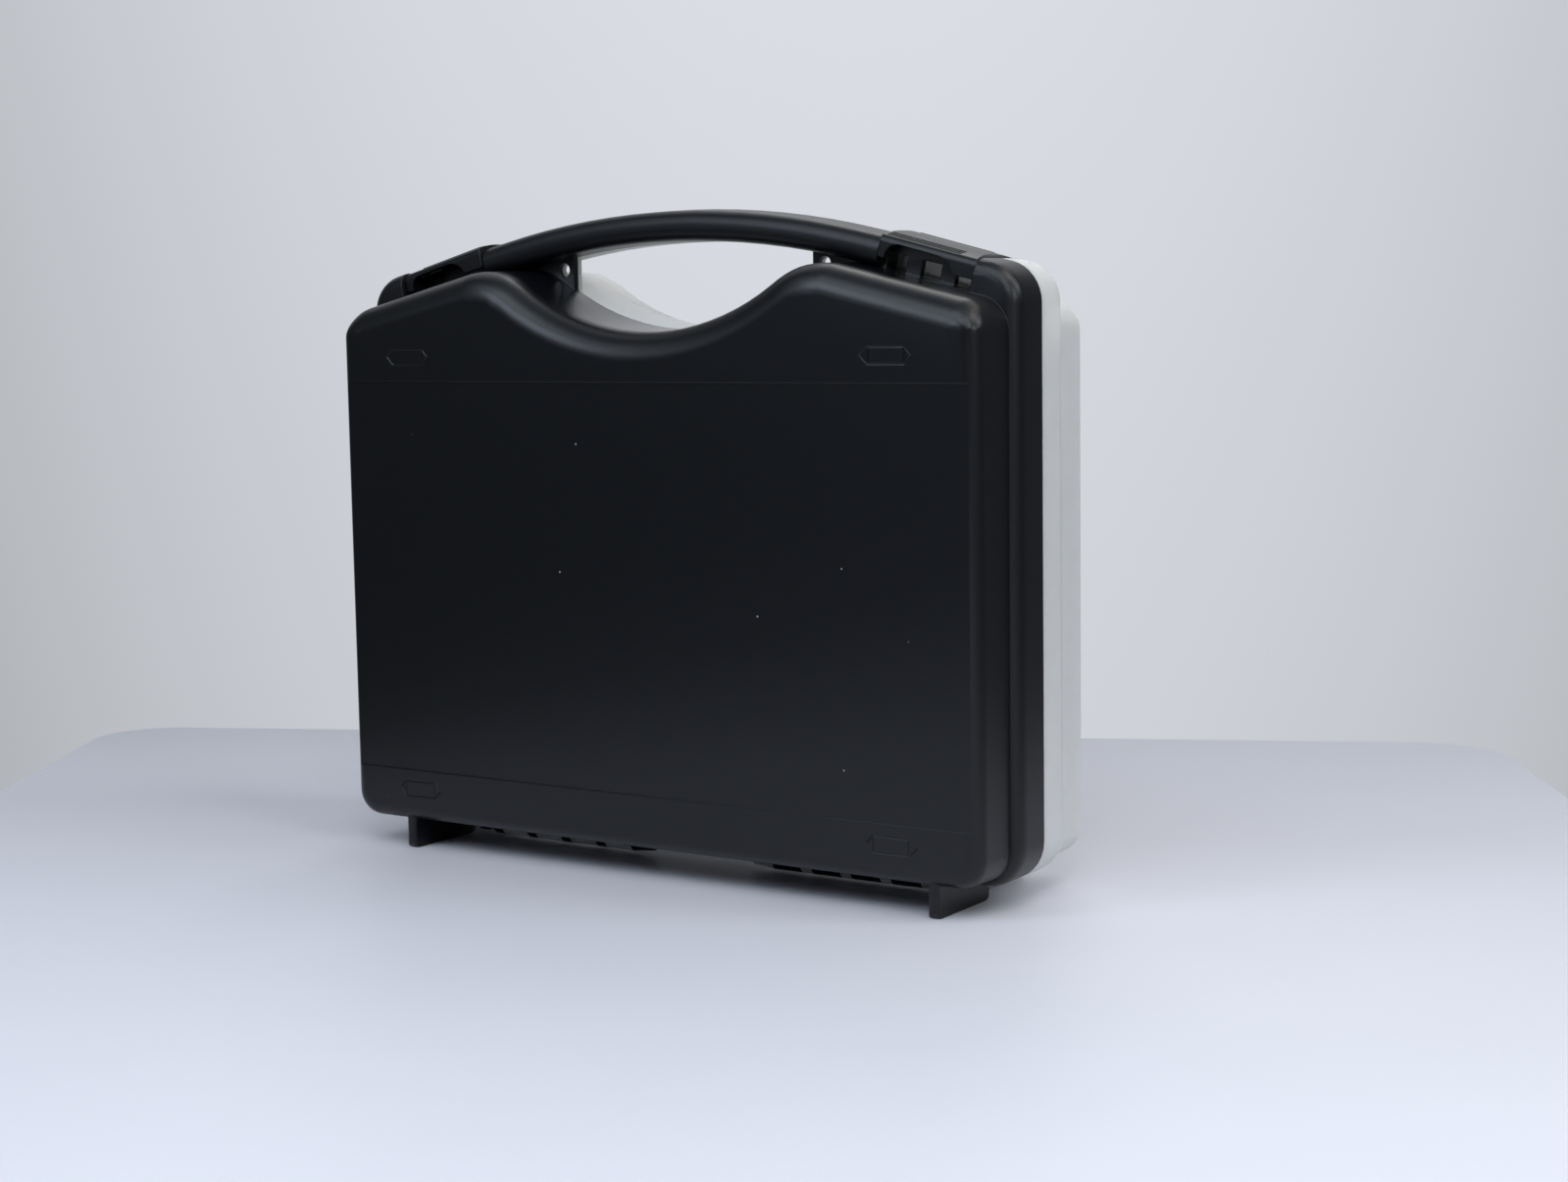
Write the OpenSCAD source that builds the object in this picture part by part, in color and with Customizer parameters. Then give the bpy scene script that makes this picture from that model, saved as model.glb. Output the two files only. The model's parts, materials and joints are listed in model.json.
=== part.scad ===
// Moulded tool case of two equal half shells.
// The halves meet on the plane Y = 0, turn on two steel pins under their bottom edge and are
// held shut by two snap latches over the ends of the handle.
// X runs to the right, Y away from the viewer and Z up; the case stands on its feet at Z = 0.
// Depths are measured outwards from the parting plane; the front half lies at negative Y and
// the rear half is the same moulding turned half way round the Z axis.

/* [Case] */
// Width over the rims
rim_width = 275; // [240:0.5:320]
// Height of the handle crown above the ground
case_height = 232; // [215:0.5:260]
// Depth of one half, from the parting plane to its face
half_depth = 37.6; // [32:0.1:60]
// Height of the rim above the ground
rim_bottom = 7.5; // [6.5:0.1:9]
// Fall of the shoulders towards the sides
top_slope = 13.2; // [11:0.1:15]
// Radius of the rim corners
rim_corner_r = 14; // [13:0.5:18]

/* [Shell] */
// Wall thickness
wall = 2.2; // [1.8:0.1:2.6]
// Step from the body out to the rim at the sides and the bottom
rim_step = 2.9; // [2.7:0.1:4]
// Depth of the rim band
rim_depth = 17; // [16:0.1:20]
// Rounding of the rim's outer edge at the sides
rim_edge_r = 2.8; // [2:0.1:2.9]
// Rounding of the rim's outer edge at the shoulders
shoulder_edge_r = 5.5; // [3:0.1:6]
// Height of the flange between the body and the handle line
flange_height = 11; // [10.5:0.1:13]
// Rounding of the face's edge at the sides and the bottom
face_edge_r = 5.6; // [4:0.1:7]
// Rounding of the face's upper edge
top_edge_r = 10; // [6:0.1:10.4]
// Radius of the body's lower corners
body_corner_r = 10; // [8:0.5:16]
// Radius of the body's upper corners
body_top_r = 11.5; // [11.2:0.1:14]
// Taper of the body walls over their depth
draft = 0.5; // [0:0.1:1]
// Step from the body down to the rim
bottom_step = 2.7; // [2.5:0.1:3.5]
// Extra thickness of the face and of the rim's front wall
face_extra = 0.2; // [0:0.05:0.4]

/* [Label panel] */
// Height of the panel's lower crease
panel_low = 30; // [25:0.5:60]
// Height of the panel's upper crease
panel_high = 173; // [120:0.5:176]
// Depth of the panel below the bands
panel_depth = 0.6; // [0.3:0.1:1]

/* [Corner marks] */
// Distance of the marks from the case end
mark_inset = 36.25; // [28:0.25:60]
// Height of the lower marks
mark_low = 23.1; // [22:0.1:24]
// Height of the upper marks
mark_high = 181.9; // [178.5:0.1:183]
// Length of a mark over its points
mark_length = 20; // [14:0.5:24]
// Height of a mark
mark_height = 6; // [4:0.5:8]
// Depth of the engraved line
mark_depth = 0.25; // [0.1:0.05:0.4]

/* [Hand hole] */
// Radius of the scooped floor
scoop_r = 98; // [85:1:110]
// Height of the scoop's lowest point
scoop_floor = 190.3; // [186:0.1:192]
// Steepness of the scoop's flanks
scoop_flank = 33; // [30:0.5:35]
// Radius of the humps beside the scoop
hump_r = 28; // [20:1:30]
// Width of the opening between the webs
opening_width = 102.8; // [90:0.2:110]
// Thickness of the webs beside the opening
web = 2.2; // [1.6:0.1:2.4]
// Diameter of the seal holes
eye_d = 5; // [3:0.1:6]
// Distance of the seal holes from the opening's edge
eye_inset = 4.6; // [4.2:0.1:6]
// Depth of the seal holes below the grip's underside
eye_drop = 4; // [3.6:0.1:5.4]

/* [Grip] */
// Length of the handle's straight end, from the arch to the latch middle
grip_end = 27.7; // [26:0.1:32]
// Depth of the grip in one half
grip_depth = 14; // [12:0.1:14.4]
// Height of the grip
grip_height = 11.2; // [10.4:0.1:11.6]
// Fall of the grip's top towards its front
grip_fall = 1; // [0.4:0.1:1.6]
// Rounding of the grip's upper edge
grip_top_r = 5; // [3:0.1:5.2]
// Rounding of the grip's lower edge
grip_low_r = 4.2; // [3:0.1:4.4]
// Number of ribs across the hollow grip
grip_ribs = 5; // [3:2:9]
// Thickness of a rib
rib = 1.4; // [1:0.1:2]
// Setback of the ribs behind the parting plane
rib_gap = 0.4; // [0.2:0.1:1]

/* [Latch] */
// Distance of the latch middle from the case end
latch_inset = 33.3; // [30.5:0.1:37]
// Length of the latch along the shoulder
latch_length = 37.4; // [34:0.1:39]
// Depth of the latch over both rims
latch_depth = 29; // [28.6:0.1:29.6]
// Thickness of the latch plate
plate = 1.8; // [1.5:0.1:1.9]
// Height of the latch crown above the handle line
latch_proud = 1.1; // [0.8:0.1:1.3]
// Radius of the crown across the latch
crown_r = 60; // [50:1:80]
// Rounding of the latch's long edges
latch_edge_r = 2.5; // [2.2:0.1:2.8]
// Width of the wide leg on either side
wide_leg = 8; // [6:0.1:9]
// Width of the narrow leg on either side
narrow_leg = 2.6; // [2.2:0.1:4]
// Depth of the legs below the handle line
leg_drop = 7.4; // [6.8:0.1:7.5]
// Lean of the latch against the shoulder
lean = 1.4; // [0.6:0.1:1.8]
// Width of the grip ridges
ridge = 0.8; // [0.5:0.1:1]
// Distance of the ridges from the latch's inner end
ridge_end = 1.2; // [0.8:0.1:3]
// Rounding of the latch's outer end
latch_end_r = 4.5; // [2:0.1:5]
// Rounding of the leg tips
leg_tip_r = 0.8; // [0.4:0.1:1.2]
// Running gap round the latch
latch_gap = 0.4; // [0.3:0.05:0.5]
// Play between the latch plate and the rim under it
seat_gap = 0.4; // [0.3:0.05:0.6]
// Depth of the catch web
catch_depth = 10; // [9.5:0.1:10.2]
// Depth of the web behind the pivot
pivot_web_depth = 6; // [5:0.1:6.1]
// Depth of the latch pivot
pivot_depth = 10; // [9.9:0.1:10.2]
// Depth of the latch pivot below the handle line
pivot_drop = 5.8; // [5.6:0.1:6]
// Diameter of the latch trunnions
trunnion_d = 3; // [2:0.1:3.2]
// Radial clearance of the trunnions
trunnion_fit = 0.05; // [0.02:0.01:0.1]
// Width of a catch window
window_width = 7.5; // [6:0.1:9]
// Pitch of the catch windows
window_pitch = 13.2; // [12.4:0.1:14]
// Depth of the windows' upper edge below the handle line
window_drop = 5.5; // [5.2:0.1:6.5]
// Height of the catch hook
hook_height = 1.6; // [1.2:0.1:1.8]
// Gap between the hook and the catch web
hook_clear = 0.5; // [0.4:0.05:0.8]

/* [Hinge] */
// Diameter of the steel hinge pins
pin_d = 2.8; // [2:0.1:3]
// Outer radius of the knuckles
knuckle_r = 3.2; // [2.8:0.05:3.3]
// Gap between the knuckles and the ground
knuckle_lift = 0.5; // [0.3:0.1:0.8]
// Pitch of the knuckles
knuckle_pitch = 16.2; // [14:0.1:16.4]
// Width of the narrow fingers that hold the pin
finger = 4; // [3:0.1:5]
// Number of fingers on a pin
fingers = 4; // [3:1:5]
// Distance of the first finger from the case end
finger_inset = 92.2; // [90:0.1:94]
// Length of the closed boss at the pin's inner end
boss = 9; // [7:0.1:11]
// Side gap between neighbouring knuckles
knuckle_gap = 0.3; // [0.2:0.05:0.5]
// Radial clearance of the turning knuckles
run_fit = 0.06; // [0.03:0.01:0.1]
// Radial clearance of the fingers that grip the pin
grip_fit = 0.02; // [0.01:0.01:0.03]
// Length of the pin beyond its last finger
pin_proud = 1.3; // [1:0.1:2]
// End play of the pin in its boss
pin_play = 0.2; // [0.1:0.05:0.4]
// Gap between the pin's outer end and its stop
stop_gap = 0.3; // [0.2:0.05:0.5]
// Width of the stop
stop_width = 5; // [3:0.5:7]

/* [Feet] */
// Thickness of a foot
foot = 4; // [3:0.1:5]
// Distance of the right foot's middle from the case end
foot_right_inset = 21.9; // [19.5:0.1:23.5]
// Distance of the left foot's middle from the case end
foot_left_inset = 29; // [28:0.1:31.5]
// Gap between the foot and the parting plane
foot_gap = 0.6; // [0.3:0.1:2]
// Distance of the foot's front end behind the face
foot_setback = 1.8; // [1:0.1:4]
// Rounding under the foot's front end
foot_front_r = 3; // [1:0.1:4]
// Rounding under the foot's rear end
foot_rear_r = 4; // [2:0.1:5]
// Rounding of the foot's upright edges
foot_nose_r = 1.6; // [0.5:0.1:1.8]

/* [Rim lap] */
// Height of the locating lip
lip_height = 1.5; // [1:0.1:2]
// Thickness of the locating lip
lip = 0.9; // [0.7:0.1:1]
// Clearance round the lip
lip_gap = 0.25; // [0.15:0.05:0.3]
// Height of the lip's lower end
lip_low = 30; // [25:1:60]
// Height of the lip's upper end
lip_high = 182; // [150:1:184]

/* [Hidden] */
black = [0.09, 0.10, 0.11];
natural = [0.86, 0.88, 0.88];
steel = [0.72, 0.73, 0.75];
past = 1;
over = 0.1;
big = 400;

rim_half = rim_width / 2;
body_half = rim_half - rim_step;
body_bottom = rim_bottom + bottom_step;
latch_x = rim_half - latch_inset;
arch_end = latch_x - grip_end;
arch_r = arch_end / sin(top_slope);
mark_x = rim_half - mark_inset;
foot_right = rim_half - foot_right_inset;
foot_left = rim_half - foot_left_inset;
first_finger = rim_half - finger_inset;
apex = case_height + arch_r * (1 / cos(top_slope) - 1);
rim_shoulder = apex - rim_half * tan(top_slope);
body_apex = apex - flange_height / cos(top_slope);
body_shoulder = body_apex - body_half * tan(top_slope);
scoop_point = scoop_floor - scoop_r * (1 / cos(scoop_flank) - 1);
hump_x = (body_apex - scoop_point) / (tan(scoop_flank) + tan(top_slope));
hump_z = scoop_point + hump_x * tan(scoop_flank);
joggle_top = body_shoulder - rim_corner_r;
latch_z = apex - latch_x * tan(top_slope);
latch_half = latch_length / 2;
pit_half = latch_half + latch_gap;
seat = plate - latch_proud + latch_half * tan(lean) + seat_gap;
crown_fall = atan((latch_depth / 2 - latch_edge_r) / crown_r);
crown_apex = latch_proud + crown_r * (1 / cos(crown_fall) - 1);
crown_edge = crown_apex - latch_depth / 2 * tan(crown_fall);
axis_z = knuckle_r + knuckle_lift;
hook_width = knuckle_pitch - finger - 2 * knuckle_gap;
boss_in = first_finger - finger / 2 - 2 * knuckle_gap - hook_width - boss;
pin_in = boss_in + wall;
pin_out = first_finger + (fingers - 1) * knuckle_pitch + finger / 2 + pin_proud;
corner_steps = 8;
scoop_steps = 20;

// Height of the handle line: an arch, with straight ends over the shoulders
function handle(x) = x < arch_end ? case_height - arch_r + sqrt(arch_r * arch_r - x * x)
    : apex - x * tan(top_slope);

// Outline of a polygon with rounded corners, as pairs of a point and its outward normal.
// The corners go round anticlockwise; a corner that turns inwards gets a hollow rounding, and
// one without a radius stays sharp.
function outline(corners, radii, steps) = [
    for (i = [0 : len(corners) - 1])
        let (n = len(corners),
             before = corners[(i + n - 1) % n],
             here = corners[i],
             after = corners[(i + 1) % n],
             in = (here - before) / norm(here - before),
             out = (after - here) / norm(after - here),
             n1 = [in[1], -in[0]],
             n2 = [out[1], -out[0]],
             turn = atan2(in[0] * out[1] - in[1] * out[0], in * out),
             r = turn > 0 ? radii[i] : -radii[i],
             mitre = (n1 + n2) / (1 + n1 * n2),
             start = atan2(n1[1], n1[0]))
        each radii[i] == 0 ? [[here, mitre]] : [
            for (k = [0 : steps[i]])
                let (a = start + turn * k / steps[i], normal = [cos(a), sin(a)])
                [here - r * mitre + r * normal, normal]]
];

// The outline's points, moved inwards by one distance
function inset(ring, by) = [for (q = ring) q[0] - by * q[1]];

body_ring = outline(
    [[-body_half, body_bottom], [body_half, body_bottom], [body_half, body_shoulder],
     [hump_x, hump_z], [0, scoop_point], [-hump_x, hump_z], [-body_half, body_shoulder]],
    [body_corner_r, body_corner_r, body_top_r, hump_r, scoop_r, hump_r, body_top_r],
    [for (i = [0 : 6]) i == 4 ? scoop_steps : corner_steps]);

// Fans that close the body's ends: one to each side of the scoop's lowest point and one below it
low_right = 2 * corner_steps + 1;
scoop_middle = 4 * (corner_steps + 1) + scoop_steps / 2;
body_fans = [[low_right, low_right + 1, scoop_middle],
             [0, scoop_middle, len(body_ring) - 1],
             [scoop_middle, 0, low_right]];

rim_ring = outline(
    [[-rim_half, rim_bottom], [rim_half, rim_bottom], [rim_half, rim_shoulder], [0, apex],
     [-rim_half, rim_shoulder]],
    [rim_corner_r, rim_corner_r, rim_corner_r, arch_r, rim_corner_r],
    [for (i = [0 : 4]) i == 3 ? 4 : corner_steps]);

rim_fans = [[0, 1, len(rim_ring) - 1]];

grip_ring = outline(
    [[0, 0], [-grip_depth, -grip_fall], [-grip_depth, 0.2 - grip_height], [0, -grip_height]],
    [0, grip_top_r, grip_low_r, 0],
    [0, 8, 8, 0]);

latch_ring = outline(
    [[0, crown_apex], [-latch_depth / 2, crown_edge],
     [-latch_depth / 2, -big], [latch_depth / 2, -big],
     [latch_depth / 2, crown_edge]],
    [crown_r, latch_edge_r, 0, 0, latch_edge_r],
    [10, 6, 0, 0, 6]);

latch_side = outline(
    [[-latch_half, -leg_drop], [latch_half, -leg_drop],
     [latch_half, latch_proud - latch_half * tan(lean)],
     [-latch_half, latch_proud + latch_half * tan(lean)]],
    [leg_tip_r, leg_tip_r, latch_end_r, leg_tip_r],
    [4, 4, 8, 4]);

// Ring of points at one depth
function at_depth(depth, ring) = [for (p = ring) [p[0], -depth, p[1]]];

// Solid between rings of equally many points. The two end rings are flat and are closed with
// fans, each from one point to a run of others.
module loft(rings, fans) {
    n = len(rings[0]);
    last = len(rings) - 1;
    points = [for (r = rings) each r];
    sides = [for (j = [0 : last - 1]) for (i = [0 : n - 1])
        let (a = j * n + i, b = j * n + (i + 1) % n)
        each [[a, a + n, b], [b, a + n, b + n]]];
    cap = [for (f = fans) for (i = [f[1] : f[2] - 1]) [f[0], i, i + 1]];
    polyhedron(points, concat(cap, sides, [for (t = cap) last * n * [1, 1, 1] + [t[2], t[1], t[0]]]),
        convexity = 12);
}

// Flat shape in X and Z, made solid from one depth to another
module deep(from, to) {
    translate([0, -from, 0]) rotate([90, 0, 0]) linear_extrude(to - from) children();
}

// Frame on the right (1) or left (-1) shoulder: X along the slope, Z out of it, origin at the
// middle of the latch on the handle line
module on_slope(side) {
    translate([side * latch_x, 0, latch_z]) rotate([0, side * top_slope, 0]) children();
}

// Block in the shoulder frame between two places along it, two depths and two heights
module block(x, d, z) {
    translate([x[0], -d[1], z[0]]) cube([x[1] - x[0], d[1] - d[0], z[1] - z[0]]);
}

// Flat shape in Y and Z, made solid from one X to another
module along(from, to) {
    translate([from, 0, 0]) rotate([90, 0, 90]) linear_extrude(to - from) children();
}

// Round bar along X
module bar(from, to, y, z, r) {
    translate([from, y, z]) rotate([0, 90, 0]) cylinder(r = r, h = to - from, $fn = 64);
}

// Outer or inner form of the body: the walls taper and run into the face on a round edge, which
// is wider where the wall faces up
module body_form(by, start, face) {
    steps = 8;
    function edge(normal) = let (up = max(0, normal[1]))
        face_edge_r - by + (top_edge_r - face_edge_r) * up * up * (3 - 2 * up);
    loft(concat(
        [at_depth(start, inset(body_ring, by))],
        [for (k = [0 : steps])
            let (a = 90 * k / steps)
            [for (q = body_ring)
                let (r = edge(q[1]), p = q[0] - q[1] * (by + draft + r * (1 - cos(a))))
                [p[0], r * (1 - sin(a)) - face, p[1]]]]), body_fans);
}

// Rim plate with its rounded front edge, rounder at the shoulders
module rim_form() {
    steps = 5;
    function blend(z) = min(1, max(0, (z - joggle_top) / rim_corner_r));
    function edge(z) = rim_edge_r
        + (shoulder_edge_r - rim_edge_r) * blend(z) * blend(z) * (3 - 2 * blend(z));
    loft(concat(
        [at_depth(0, inset(rim_ring, 0))],
        [for (k = [0 : steps])
            let (a = 90 * k / steps)
            at_depth(rim_depth - shoulder_edge_r * (1 - sin(a)),
                [for (q = rim_ring) q[0] - q[1] * edge(q[0][1]) * (1 - cos(a))])]), rim_fans);
}

// One half of the grip, swept along the arch and its straight ends; a hollow one stops short
// of the ends and runs out past the parting plane
module grip_sweep(by, ends) {
    tangent = (latch_x - arch_end) / cos(top_slope);
    profile = [for (p = inset(grip_ring, by)) [p[0] > -by - 0.1 ? (by > 0 ? past : 0) : p[0], p[1]]];
    translate([0, 0, case_height - arch_r]) rotate([90, 0, 0]) rotate([0, 0, 90 - top_slope])
        rotate_extrude(angle = 2 * top_slope, $fn = 360)
        polygon([for (p = profile) [arch_r + p[1], -p[0]]]);
    on_slope(1) along(-tangent, -pit_half - ends) polygon(profile);
    on_slope(-1) along(pit_half + ends, tangent) polygon(profile);
}

// Web between the handle's root and the body, with a seal hole
module eye_web(side) {
    inner = opening_width / 2;
    outer = latch_x - (pit_half + wall / 2) * cos(top_slope) - grip_height * sin(top_slope);
    root = (grip_height - wall / 2) / cos(top_slope);
    deep(0, web) polygon([
        [side * inner, scoop_floor], [side * outer, scoop_floor],
        [side * outer, handle(outer) - root], [side * inner, handle(inner) - root]]);
}

// Rail of the latch pit, under the latch; its upper edge is round
module rail(depth) {
    round = 1.5;
    along(-pit_half - wall / 4, pit_half + wall / 4)
        polygon(inset(outline(
            [[0, -seat], [-depth, -seat], [-depth, -flange_height - wall / 2],
             [0, -flange_height - wall / 2]],
            [0, round, 0, 0], [0, 6, 0, 0]), 0));
}

// Foot under one half, thin and set across the case's length, with round ends
module support(x) {
    front = half_depth - foot_setback;
    top = body_bottom + face_edge_r;
    intersection() {
        along(x - foot / 2, x + foot / 2)
            polygon(inset(outline(
                [[-front, 0], [-foot_gap, 0], [-foot_gap, top], [-front, top]],
                [foot_front_r, foot_rear_r, 0, 0], [6, 8, 0, 0]), 0));
        linear_extrude(top)
            polygon(inset(outline(
                [[x - foot / 2, -front], [x + foot / 2, -front],
                 [x + foot / 2, -foot_gap], [x - foot / 2, -foot_gap]],
                foot_nose_r * [1, 1, 1, 1], [4, 4, 4, 4]), 0));
    }
}

// Knuckle with its neck up to the rim
module knuckle(from, to) {
    bar(from, to, 0, axis_z, knuckle_r);
    translate([from, -knuckle_r, axis_z])
        cube([to - from, knuckle_r, rim_bottom + wall / 2 - axis_z]);
}

// Closed and tapered boss round the inner end of a pin, with its neck
module pin_boss() {
    translate([-boss_in - boss, 0, axis_z]) rotate([0, 90, 0])
        cylinder(r1 = knuckle_r, r2 = knuckle_r - 0.9, h = boss, $fn = 64);
    translate([-boss_in - boss, -knuckle_r, axis_z])
        cube([boss, knuckle_r, rim_bottom + wall / 2 - axis_z]);
}

// Flat shape of a corner mark's lines
module mark_lines() {
    line = 0.5;
    difference() {
        mark_shape(0);
        mark_shape(line);
    }
    difference() {
        square([mark_length * 0.7, mark_height - line], center = true);
        square([mark_length * 0.7 - 2 * line, mark_height], center = true);
    }
}

// Long hexagon, drawn in by a distance
module mark_shape(by) {
    h = mark_height / 2 - by;
    tip = mark_length / 2 - by * 1.4;
    flat = tip - h;
    polygon([[-tip, 0], [-flat, -h], [flat, -h], [tip, 0], [flat, h], [-flat, h]]);
}

// Everything that one half is made of, before it is hollowed
module half_solid() {
    reach = latch_x + pit_half * cos(top_slope);
    body_form(0, 0, half_depth);
    difference() {
        rim_form();
        for (side = [-1, 1]) on_slope(side)
            block(side > 0 ? [-latch_x, pit_half] : [-pit_half, latch_x], [-past, rim_depth + past],
                  [-flange_height - over, big]);
        deep(-past, rim_depth + past)
            polygon([[-reach, joggle_top], [reach, joggle_top], [hump_x, apex], [-hump_x, apex]]);
    }
    grip_sweep(0, 0);
    eye_web(-1);
    eye_web(1);
    on_slope(1) rail(catch_depth);
    on_slope(-1) rail(pivot_web_depth);
    support(foot_right);
    support(-foot_left);
    for (k = [0 : fingers - 1]) {
        x = first_finger + k * knuckle_pitch;
        knuckle(-x - finger / 2, -x + finger / 2);
        knuckle(x - finger / 2 - knuckle_gap - hook_width, x - finger / 2 - knuckle_gap);
    }
    pin_boss();
    translate([-pin_out - stop_gap - stop_width, -knuckle_r, axis_z - knuckle_r / 2])
        cube([stop_width, knuckle_r, rim_bottom + wall / 2 - axis_z + knuckle_r / 2]);
}

// Hollow of the body, the wider hollow behind the rim and the pockets of the top flange
module hollows() {
    back = half_depth - wall - face_extra;
    body_form(wall, -past, back);
    deep(-past, rim_depth - wall - face_extra) intersection() {
        polygon(inset(rim_ring, wall));
        translate([-big / 2, 0]) square([big, joggle_top]);
    }
    deep(-past, rim_depth - wall) intersection() {
        polygon(inset(rim_ring, wall));
        for (side = [-1, 1]) translate([side * latch_x, latch_z]) rotate(-side * top_slope)
            translate([side > 0 ? pit_half + wall : -big, -flange_height])
            square([big - (side > 0 ? 0 : pit_half + wall), big]);
    }
    difference() {
        grip_sweep(wall, wall);
        for (k = [0 : grip_ribs - 1])
            translate([(k - (grip_ribs - 1) / 2) * 2 * arch_end / grip_ribs - rib / 2,
                       -grip_depth, 0])
            cube([rib, grip_depth - rib_gap, case_height + past]);
    }
    for (side = [-1, 1]) {
        depth = side > 0 ? catch_depth : pivot_web_depth;
        on_slope(side) block([-pit_half, pit_half], [-past, depth - wall],
                             [-flange_height, -seat - wall]);
    }
}

// Everything that is cut through the walls of one half
module cuts() {
    for (side = [-1, 1]) {
        x = opening_width / 2 + eye_inset;
        deep(-past, web + past) translate([side * x, handle(x) - grip_height - eye_drop])
            circle(d = eye_d, $fn = 48);
        for (z = [mark_low, mark_high])
            deep(half_depth - mark_depth, half_depth + past) translate([side * mark_x, z])
                mark_lines();
    }
    translate([-big / 2, -half_depth - past, panel_low])
        cube([big, past + panel_depth, panel_high - panel_low]);
    on_slope(1) for (k = [-1 : 1])
        block([k * window_pitch - window_width / 2, k * window_pitch + window_width / 2],
              [catch_depth - wall - past, catch_depth + past], [-flange_height, -window_drop]);
    on_slope(-1) bar(-pit_half - wall - past, pit_half + wall + past, -pivot_depth, -pivot_drop,
                     trunnion_d / 2 + trunnion_fit);
    bar(-pin_out - over, -pin_in, 0, axis_z, pin_d / 2 + grip_fit);
    bar(first_finger - finger / 2 - knuckle_gap - hook_width - past, pin_out - finger, 0, axis_z,
        pin_d / 2 + run_fit);
    translate([rim_half - wall - past, -lip_height - lip_gap, lip_low - 2])
        cube([lip + lip_gap + past, lip_height + lip_gap + past, lip_high - lip_low + 4]);
}

// One half shell, as the front half stands
module half_shell() {
    difference() {
        half_solid();
        hollows();
        cuts();
    }
    translate([-rim_half + wall - lip, -3, lip_low])
        cube([lip + 0.01, 3 + lip_height, lip_high - lip_low]);
}

// The right latch in the frame of the right shoulder: its pivot lies at the back
module latch_form() {
    skirt = latch_depth / 2 - plate;
    difference() {
        intersection() {
            rotate([0, lean, 0]) along(-latch_half - 2, latch_half + 2)
                polygon(inset(latch_ring, 0));
            deep(-latch_depth, latch_depth) polygon(inset(latch_side, 0));
        }
        rotate([0, lean, 0]) along(-latch_half + plate, latch_half - plate)
            polygon(inset(latch_ring, plate));
        block([-latch_length, latch_length],
              [-pivot_web_depth - hook_clear, catch_depth + hook_clear],
              [-big, seat_gap / 2 - seat]);
        latch_arch(narrow_leg, wide_leg, skirt - plate, latch_depth);
        latch_arch(wide_leg, narrow_leg, -latch_depth, plate - skirt);
    }
    for (start = [-pit_half - 0.7 * wall, latch_half - plate / 2])
        bar(start, start + latch_gap + 0.7 * wall + plate / 2, pivot_depth, -pivot_drop,
            trunnion_d / 2);
    translate([latch_half - wide_leg, -skirt - over, -leg_drop])
        cube([wide_leg - plate, skirt - catch_depth - hook_clear, hook_height]);
    rotate([0, lean, 0]) for (side = [-1, 1]) for (k = [0 : 2]) {
        y = latch_depth / 2 - latch_edge_r - k * 2 * ridge;
        bar(-latch_half + ridge_end, latch_half - wide_leg, side * y,
            latch_proud - y * y / 2 / crown_r - ridge / 5, ridge / 2);
    }
}

// Arch under the plate between an inner and an outer leg
module latch_arch(inner, outer, from, to) {
    crest = crown_edge - plate;
    outer_r = max(inner, outer) * (outer > inner ? 1 : 0.6);
    inner_r = max(inner, outer) * (outer > inner ? 0.6 : 1);
    deep(from, to) polygon(inset(outline(
        [[-latch_half + inner, -big], [latch_half - outer, -big],
         [latch_half - outer, crest - latch_half * tan(lean)],
         [-latch_half + inner, crest + latch_half * tan(lean)]],
        [0, 0, outer_r, inner_r], [0, 0, 8, 8]), 0));
}

module right_latch() { color(black) on_slope(1) latch_form(); }
module left_latch() { rotate([0, 0, 180]) right_latch(); }
module front_shell() { color(black) half_shell(); }
module rear_shell() { color(natural) rotate([0, 0, 180]) half_shell(); }
module left_hinge_pin() {
    color(steel) bar(-pin_out, -pin_in - pin_play, 0, axis_z, pin_d / 2);
}
module right_hinge_pin() { rotate([0, 0, 180]) left_hinge_pin(); }

front_shell();
rear_shell();
left_latch();
right_latch();
left_hinge_pin();
right_hinge_pin();
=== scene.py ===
"""Moulded tool case: two equal half shells, one black and one in natural milky plastic, on two
steel hinge pins, with a snap latch over each end of the handle. Metres, +Z up."""

import json
import math

import bmesh
import bpy
import numpy as np
from mathutils import Matrix, Vector


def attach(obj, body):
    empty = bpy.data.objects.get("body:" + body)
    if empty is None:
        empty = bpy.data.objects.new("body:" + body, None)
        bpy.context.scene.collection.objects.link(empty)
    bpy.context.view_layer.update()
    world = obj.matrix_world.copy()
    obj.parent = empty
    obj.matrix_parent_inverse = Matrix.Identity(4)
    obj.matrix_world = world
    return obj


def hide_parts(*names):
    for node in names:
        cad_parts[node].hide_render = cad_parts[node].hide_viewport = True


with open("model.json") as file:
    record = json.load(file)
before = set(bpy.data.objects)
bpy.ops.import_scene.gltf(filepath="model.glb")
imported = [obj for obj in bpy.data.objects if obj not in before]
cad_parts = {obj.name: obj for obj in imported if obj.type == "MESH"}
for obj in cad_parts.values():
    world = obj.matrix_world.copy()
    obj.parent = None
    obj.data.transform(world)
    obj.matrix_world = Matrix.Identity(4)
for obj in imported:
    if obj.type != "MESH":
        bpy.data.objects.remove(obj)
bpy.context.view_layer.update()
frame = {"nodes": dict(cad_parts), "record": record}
scene = bpy.context.scene
MM = 0.001

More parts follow.
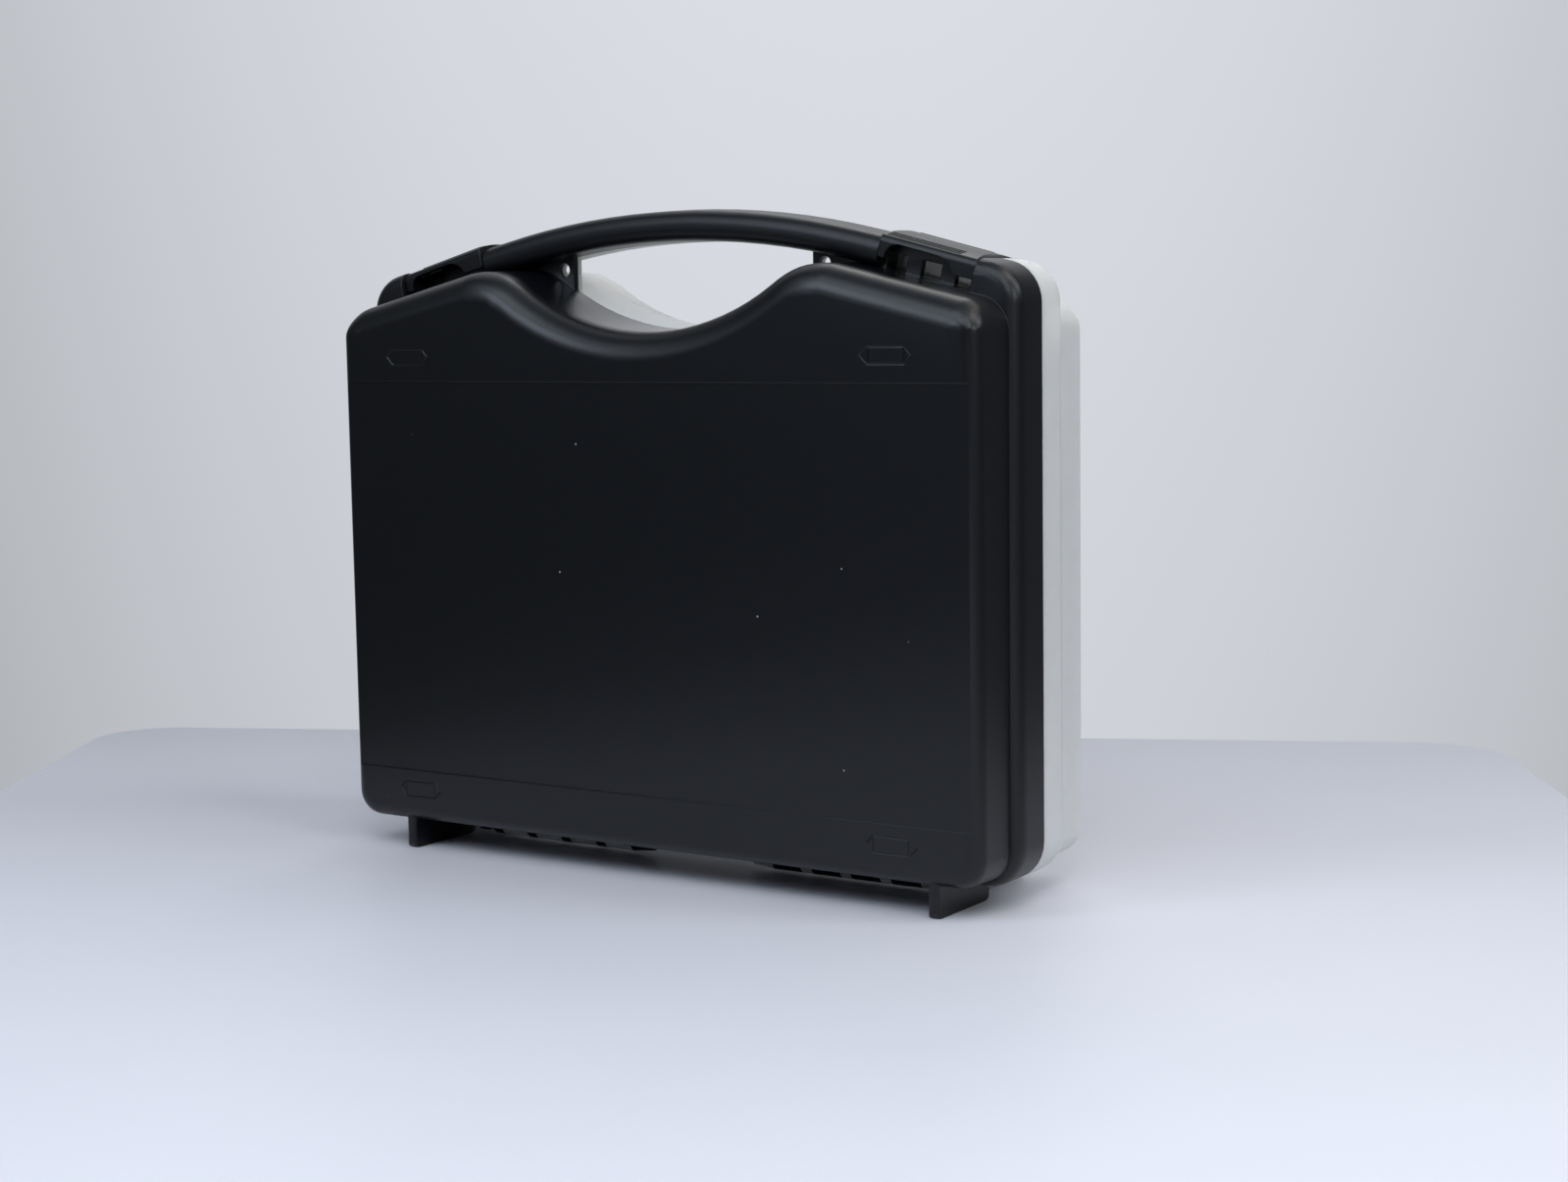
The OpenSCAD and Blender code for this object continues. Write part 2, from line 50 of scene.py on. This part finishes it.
# Finish of the mouldings: where each zone begins or ends, and the width over which it fades
FACE_ROUNDING = 35.2 * MM, 4.5 * MM
FLAT_FACE = 36.75 * MM, 0.4 * MM
TOP_LOW = 182 * MM, 2 * MM
TOP_HIGH = 212 * MM, 2 * MM
TOP_SIDES = 112 * MM, 2 * MM
POLISH_DEPTH = 25 * MM, 6 * MM
WEB_START = 60 * MM, 4 * MM
WEB_DEPTH = 4.5 * MM, 0.5 * MM

# Patterns on the mouldings, in cells per metre
GRAIN_SCALE = 2300
WAVE_SCALE = 22
CLOUD_SCALE = 160
SPECK_SCALE = 120

# Dust: a speck's radius in its cell and its fading, and the chance that a cell has none
SPECK_RADIUS = 0.04, 0.03
SPECK_CHANCE = 0.935, 0.004
DUST_COVER = 0.8
DUST_ROUGHNESS = 0.25

# Relief of the mouldings: its softened edges and depth, the waves as a share of that depth, and
# the share of the grain that each smooth zone loses
EDGE_RADIUS = 0.55 * MM
RELIEF_DEPTH = 0.055 * MM
WAVE_HEIGHT = 0.05
FACE_SMOOTHING = 0.93
TOP_SMOOTHING = 0.8

# Clouds of the mouldings, which darken and dull them, and what the smooth zones gain in gloss
CLOUD_COVER = 0.35
CLOUD_TONE = 0.82
CLOUD_ROUGHNESS = 0.04
FACE_GLOSS = 0.07
TOP_GLOSS = 0.16

# Surfaces of the pieces: the weight lets the larger faces set the shading
MERGE_DISTANCE = 2e-6
CREASE_ANGLE = math.radians(24)
LARGE_FACE_WEIGHT = 100


# Shader sums


class Wire:
    """A shader socket that takes part in sums, so that a mask reads as one formula."""

    def __init__(self, paint, socket):
        self.paint, self.socket = paint, socket

    def sum(self, operation, *terms):
        """The result of one Math node."""
        return self.paint.node("ShaderNodeMath", {"operation": operation}, *terms)

    def __add__(self, other):
        return self.sum("ADD", self, other)

    def __radd__(self, other):
        return self.sum("ADD", other, self)

    def __sub__(self, other):
        return self.sum("SUBTRACT", self, other)

    def __rsub__(self, other):
        return self.sum("SUBTRACT", other, self)

    def __mul__(self, other):
        return self.sum("MULTIPLY", self, other)

    def __rmul__(self, other):
        return self.sum("MULTIPLY", other, self)

    def __truediv__(self, other):
        return self.sum("DIVIDE", self, other)

    def __abs__(self):
        return self.sum("ABSOLUTE", self)

    def above(self, edge, soft):
        """0 below the edge and 1 above it, with a soft step of that width."""
        return self.paint.node(
            "ShaderNodeMapRange",
            {"interpolation_type": "SMOOTHSTEP", "clamp": True},
            Value=self,
            **{"From Min": edge - soft / 2, "From Max": edge + soft / 2},
        )

    def below(self, edge, soft):
        """1 below the edge and 0 above it."""
        return 1 - self.above(edge, soft)

    def output(self, name):
        """The output of the same node that has this name."""
        return Wire(self.paint, self.socket.node.outputs[name])


class Paint:
    """A material and its nodes."""

    def __init__(self, name):
        self.material = bpy.data.materials.new(name)
        self.material.use_nodes = True
        self.tree = self.material.node_tree
        self.tree.nodes.clear()

    def node(self, kind, settings=None, *terms, out=0, **inputs):
        """A node of any kind: its settings come first, then its sockets by order or by name."""
        made = self.tree.nodes.new(kind)
        for key, value in (settings or {}).items():
            setattr(made, key, value)
        for key, value in [*enumerate(terms), *inputs.items()]:
            self.plug(value, made.inputs[key])
        return Wire(self, made.outputs[out])

    def plug(self, value, socket):
        """Links a socket to another one, or gives it a value."""
        if isinstance(value, Wire):
            self.tree.links.new(value.socket, socket)
        else:
            socket.default_value = value

    def point(self):
        """The point's place on the piece."""
        return self.node("ShaderNodeTexCoord", out="Object")

    def axes(self, point):
        """The three numbers of a place."""
        parts = self.node("ShaderNodeSeparateXYZ", None, point)
        return [parts.output(axis) for axis in "XYZ"]

    def noise(self, point, scale, detail=2.0):
        """A soft random pattern from 0 to 1, with this many cells in a metre."""
        return self.node("ShaderNodeTexNoise", None, Vector=point, Scale=scale, Detail=detail)

    def mix(self, share, first, second):
        """A colour between two others, which a Mix node takes at its sockets 6 and 7."""
        made = self.node("ShaderNodeMix", {"data_type": "RGBA"}, share, out=2)
        for place, colour in ((6, first), (7, second)):
            value = (*colour, 1) if isinstance(colour, tuple) else colour
            self.plug(value, made.socket.node.inputs[place])
        return made

    def show(self, shader):
        """Gives the material this shader."""
        output = self.tree.nodes.new("ShaderNodeOutputMaterial")
        self.plug(shader, output.inputs["Surface"])
        return self.material

    def finish(self, **sockets):
        """Gives the material one Principled shader with these sockets."""
        named = {key.replace("_", " "): value for key, value in sockets.items()}
        return self.show(self.node("ShaderNodeBsdfPrincipled", None, **named))


def moulded(name, colour, dust, rough, grain, **body):
    """Moulded plastic with softened edges and a few specks of dust. Its relief is a fine grain,
    almost gone on the flat face and weak on the polished top of the body, plus low waves. Its
    roughness rises with the clouds and the dust, and falls on the face and the polished top."""
    paint = Paint(name)
    point = paint.point()
    x, y, z = paint.axes(point)

    face = abs(y).above(*FACE_ROUNDING)
    flat = abs(y).above(*FLAT_FACE)
    top = z.above(*TOP_LOW) * z.below(*TOP_HIGH) * abs(x).below(*TOP_SIDES)
    webs = abs(x).above(*WEB_START) * abs(y).below(*WEB_DEPTH)
    polish = top * abs(y).below(*POLISH_DEPTH) * (1 - webs)

    fine = paint.noise(point, GRAIN_SCALE, detail=1.0)
    waves = paint.noise(point, WAVE_SCALE)
    clouds = paint.noise(point, CLOUD_SCALE, detail=3.0)
    cells = paint.node("ShaderNodeTexVoronoi", {"feature": "F1"}, Vector=point, Scale=SPECK_SCALE)
    chance = paint.node("ShaderNodeSeparateColor", None, cells.output("Color"), out="Red")
    speck = cells.output("Distance").below(*SPECK_RADIUS) * chance.above(*SPECK_CHANCE)

    tone = paint.mix(clouds * CLOUD_COVER, colour, tuple(CLOUD_TONE * c for c in colour))
    tone = paint.mix(speck * DUST_COVER, tone, dust)
    grain_left = (1 - FACE_SMOOTHING * flat) * (1 - TOP_SMOOTHING * polish)
    bump = paint.node(
        "ShaderNodeBump",
        None,
        Height=fine * grain * grain_left + waves * WAVE_HEIGHT,
        Normal=paint.node("ShaderNodeBevel", {"samples": 6}, Radius=EDGE_RADIUS),
        Distance=RELIEF_DEPTH,
        Strength=1.0,
    )
    gloss = TOP_GLOSS * polish + FACE_GLOSS * face
    return paint.finish(
        Base_Color=tone,
        Roughness=rough + CLOUD_ROUGHNESS * clouds + DUST_ROUGHNESS * speck - gloss,
        Normal=bump,
        IOR=1.49,
        **body,
    )


def drawn_steel(name):
    """Drawn wire: fine lines along the pin, which change its colour, gloss and relief."""
    along, across, line_scale, line_roughness = 20.0, 900.0, 4, 0.2
    paint = Paint(name)
    stretched = paint.node(
        "ShaderNodeMapping", None, Vector=paint.point(), Scale=(along, across, across)
    )
    lines = paint.noise(stretched, line_scale, detail=3.0)
    return paint.finish(
        Base_Color=paint.mix(lines, (0.52, 0.53, 0.55), (0.66, 0.67, 0.68)),
        Roughness=0.22 + line_roughness * lines,
        Metallic=1.0,
        Normal=paint.node(
            "ShaderNodeBump", None, Height=lines, Distance=0.02 * MM, Strength=0.4
        ),
    )


def laminate(name, near, far, ahead, reach):
    """Table top with very faint clouds. Its tone goes evenly from near, at that reach in front of
    the case's middle, to far, as much behind it; the darker far tone is painted shade, standing
    in for light that falls off away from the lamps."""
    cloud_scale, cloud_shade = 9, 0.06
    paint = Paint(name)
    point = paint.point()
    x, y, _ = paint.axes(point)
    # Painted shade: the share of the darker far tone, growing towards the back of the table
    back = (x * ahead.x + y * ahead.y + reach) / (2 * reach)
    clouds = paint.noise(point, cloud_scale, detail=4.0)
    tone = paint.mix(clouds * cloud_shade, paint.mix(back, near, far), (0, 0, 0))
    return paint.finish(Base_Color=tone, Roughness=0.5)


def paper(name, bright, centre, along):
    """Backdrop paper. The camera and reflections see it as bright as it is painted. Its share of
    shade is the squared distance from the centre times side_shade, plus the way down from the
    bright height times low_shade, plus faint clouds, and never more than most_shade."""
    side_shade, low_shade, most_shade, bright_height = 0.59, 0.17, 0.6, 0.41
    cloud_scale, cloud_shade = 3, 0.02
    paint = Paint(name)
    point = paint.point()
    x, y, z = paint.axes(point)
    side = x * along.x + y * along.y - centre
    clouds = paint.noise(point, cloud_scale, detail=3.0) - 0.5
    shade = side * side * side_shade + (bright_height - z) * low_shade + clouds * cloud_shade
    tone = paint.mix(shade.sum("MINIMUM", shade, most_shade), bright, (0, 0, 0))

    rays = paint.node("ShaderNodeLightPath")
    mirrored = rays.output("Is Glossy Ray") + rays.output("Is Transmission Ray")
    seen = paint.node(
        "ShaderNodeMath", {"use_clamp": True}, rays.output("Is Camera Ray"), mirrored
    )
    lit = paint.node("ShaderNodeBsdfDiffuse", None, Color=(*bright, 1))
    shown = paint.node("ShaderNodeEmission", None, Color=tone, Strength=1.0)
    return paint.show(paint.node("ShaderNodeMixShader", None, seen, lit, shown))


def new_object(name, data):
    """A new object in the scene."""
    made = bpy.data.objects.new(name, data)
    scene.collection.objects.link(made)
    return made


def mesh_object(name, points, faces, material):
    """A new object from rows of points and a list of faces."""
    mesh = bpy.data.meshes.new(name)
    mesh.from_pydata(np.asarray(points).tolist(), [], faces)
    mesh.materials.append(material)
    return new_object(name, mesh)


# Materials on the pieces

black = moulded(
    "black_polypropylene",
    colour=(0.0030, 0.0038, 0.0056),
    dust=(0.35, 0.35, 0.36),
    rough=0.34,
    grain=1.0,
    Specular_IOR_Level=0.42,
)
latch_black = moulded(
    "latch_polypropylene",
    colour=(0.0028, 0.0036, 0.0054),
    dust=(0.3, 0.3, 0.3),
    rough=0.33,
    grain=0.12,
    Specular_IOR_Level=0.42,
)
natural = moulded(
    "natural_polypropylene",
    colour=(0.80, 0.80, 0.775),
    dust=(0.5, 0.5, 0.5),
    rough=0.4,
    grain=0.6,
    Subsurface_Weight=1.0,
    Subsurface_Radius=(1.0, 0.97, 0.9),
    Subsurface_Scale=9 * MM,
)
steel = drawn_steel("drawn_steel")

finishes = {
    "front_shell": black,
    "rear_shell": natural,
    "left_latch": latch_black,
    "right_latch": latch_black,
    "left_hinge_pin": steel,
    "right_hinge_pin": steel,
}


def skin(node, material):
    """The solid's own surface, with its loose faces joined and shaded smooth up to its edges."""
    mesh = frame["nodes"][node].data.copy()
    mesh.name = node + "_skin"
    made = new_object(node + "_skin", mesh)
    with bpy.context.temp_override(object=made, active_object=made, selected_objects=[made]):
        bpy.ops.mesh.customdata_custom_splitnormals_clear()
    work = bmesh.new()
    work.from_mesh(mesh)
    bmesh.ops.remove_doubles(work, verts=work.verts, dist=MERGE_DISTANCE)
    work.to_mesh(mesh)
    work.free()
    mesh.materials.clear()
    mesh.materials.append(material)
    mesh.shade_smooth()
    mesh.set_sharp_from_angle(angle=CREASE_ANGLE)
    weighted = made.modifiers.new("even_shading", "WEIGHTED_NORMAL")
    weighted.keep_sharp = True
    weighted.weight = LARGE_FACE_WEIGHT
    return made


body_of_node = {n: b for b, ns in frame["record"]["behaviour"]["bodies"].items() for n in ns}
for node, material in finishes.items():
    piece = skin(node, material)
    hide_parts(node)
    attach(piece, body_of_node[node])


# Camera

view_place = Vector((0.5239, -0.7318, 0.1972))
view_yaw, view_pitch, view_roll = (math.radians(angle) for angle in (33.69, 6.34, -0.889))
ahead = Vector(
    (
        -math.sin(view_yaw) * math.cos(view_pitch),
        math.cos(view_yaw) * math.cos(view_pitch),
        -math.sin(view_pitch),
    )
)
level = Vector((math.cos(view_yaw), math.sin(view_yaw), 0))
above = level.cross(ahead)
right = math.cos(view_roll) * level + math.sin(view_roll) * above
up = -math.sin(view_roll) * level + math.cos(view_roll) * above
turn = Matrix((right, up, -ahead)).transposed().to_4x4()
camera = new_object("camera", bpy.data.cameras.new("camera"))
camera.matrix_world = Matrix.Translation(view_place) @ turn
camera.data.lens = 58.39
camera.data.sensor_width = 36
camera.data.clip_start = 0.01
camera.data.clip_end = 50
scene.camera = camera


# Table and backdrop

TABLE_LENGTH = 1.5
TABLE_THICKNESS = 0.03
TABLE_CORNER = 0.035
CORNER_POINTS = 12
PAINTED_SHADE_REACH = 0.6
WALL_DISTANCE = 2.0
WALL_HALF_WIDTH = 1.19
WALL_LOW, WALL_HIGH = -1.2, 3.0
BRIGHT_SPOT = 0.05


def corner_arc(corner, first, second):
    """Points of a quarter circle that rounds a corner: the arc's middle, plus the corner radius
    times sine of the turn along the first direction and cosine along the second."""
    turns = np.radians(np.linspace(90, 0, CORNER_POINTS))[:, None]
    centre = corner - TABLE_CORNER * (first + second)
    return centre + TABLE_CORNER * (np.sin(turns) * first + np.cos(turns) * second)


def slab(outline, thickness):
    """Points and faces of a slab: a flat outline, the same outline lower down, and the sides
    between them."""
    points = np.vstack([outline, outline - (0, 0, thickness)])
    ring = np.arange(len(outline))
    after = np.roll(ring, -1)
    sides = np.stack([ring, ring + len(outline), after + len(outline), after], axis=1)
    bottom = ring[::-1] + len(outline)
    return points, [ring.tolist(), bottom.tolist(), *sides.tolist()]


table_axis = np.array((0.909, 0.416, 0))
table_axis /= np.linalg.norm(table_axis)
table_side = np.array((0.52, -0.854, 0))
far_left, far_right = np.array(((-0.425, 0.105, 0), (0.165, 0.372, 0)))
outline = np.vstack(
    [
        far_left + table_side * TABLE_LENGTH,
        corner_arc(far_left, -table_axis, -table_side),
        corner_arc(far_right, -table_side, table_axis),
        far_right + table_side * TABLE_LENGTH,
    ]
)
flat_ahead = Vector((ahead.x, ahead.y, 0)).normalized()
# The far tone is painted shade: the table is painted darker towards the back, as if less lit
# there
table_paint = laminate(
    "table_laminate",
    near=(0.91, 0.91, 1.0),
    far=(0.49, 0.49, 0.54),
    ahead=flat_ahead,
    reach=PAINTED_SHADE_REACH,
)
table = mesh_object("table", *slab(outline, TABLE_THICKNESS), table_paint)

middle = Vector((view_place.x, view_place.y, 0)) + flat_ahead * WALL_DISTANCE
wall_corners = (
    (-WALL_HALF_WIDTH, WALL_LOW),
    (WALL_HALF_WIDTH, WALL_LOW),
    (WALL_HALF_WIDTH, WALL_HIGH),
    (-WALL_HALF_WIDTH, WALL_HIGH),
)
wall_points = [middle + level * side + Vector((0, 0, height)) for side, height in wall_corners]
wall_paint = paper(
    "backdrop_paper",
    bright=(0.70, 0.722, 0.768),
    centre=middle.dot(level) + BRIGHT_SPOT,
    along=level,
)
wall = mesh_object("backdrop", wall_points, [[0, 1, 2, 3]], wall_paint)


# Lamps

LAMP_AIM = Vector((0, 0, 0.12))
LAMP_DISTANCE = 1.3


def soft_box(name, bearing, height, width, watts, tint):
    """A square lamp that looks at the case, along a bearing and a height given in degrees."""
    bearing, height = math.radians(bearing), math.radians(height)
    flat = math.cos(height)
    towards = Vector((flat * math.cos(bearing), flat * math.sin(bearing), math.sin(height)))
    data = bpy.data.lights.new(name, "AREA")
    data.size = width
    data.energy = watts
    data.color = tint
    lamp = new_object(name, data)
    lamp.location = towards * LAMP_DISTANCE + LAMP_AIM
    lamp.rotation_mode = "QUATERNION"
    lamp.rotation_quaternion = (LAMP_AIM - lamp.location).to_track_quat("-Z", "Y")


# Bearing from +X, height over the table, width in metres, watts, tint
soft_boxes = {
    "overhead": (0, 85, 0.7, 0.5, (0.70, 0.88, 1.0)),
    "high_front": (-100, 58, 0.5, 1.8, (0.80, 0.92, 1.0)),
    "high_right": (0, 58, 0.5, 3.6, (1.0, 0.95, 0.96)),
    "high_back": (60, 58, 0.5, 1.0, (1.0, 0.96, 0.84)),
    "back": (112, 48, 0.4, 1.2, (1.0, 0.98, 0.95)),
    "high_camera": (-54, 58, 0.5, 1.8, (1.0, 1.0, 1.0)),
    "camera": (-54, 34, 0.4, 2.8, (0.82, 0.96, 1.0)),
    "right": (15, 34, 0.4, 3.0, (0.90, 0.97, 1.0)),
    "front_left": (-128, 25, 0.55, 0.3, (0.85, 0.93, 1.0)),
    "front_left_high": (-138, 46, 0.35, 0.35, (0.85, 0.93, 1.0)),
    "front_high": (-110, 46, 0.5, 1.3, (0.80, 0.90, 1.0)),
    "front_right": (-80, 46, 0.4, 1.2, (0.90, 0.96, 1.0)),
    "front": (-115, 30, 0.4, 2.4, (0.75, 0.84, 1.0)),
    "low_front": (-112, 12, 0.22, 0.2, (0.80, 0.90, 1.0)),
    "low_right": (-20, 21, 0.28, 2.2, (1.0, 1.0, 0.98)),
}
for name, box in soft_boxes.items():
    soft_box(name, *box)

scene.world = bpy.data.worlds.new("room")
scene.world.use_nodes = True
room_light = scene.world.node_tree.nodes["Background"]
room_light.inputs["Color"].default_value = (0.86, 0.92, 1.0, 1)
room_light.inputs["Strength"].default_value = 0.11

scene.view_settings.view_transform = "Standard"
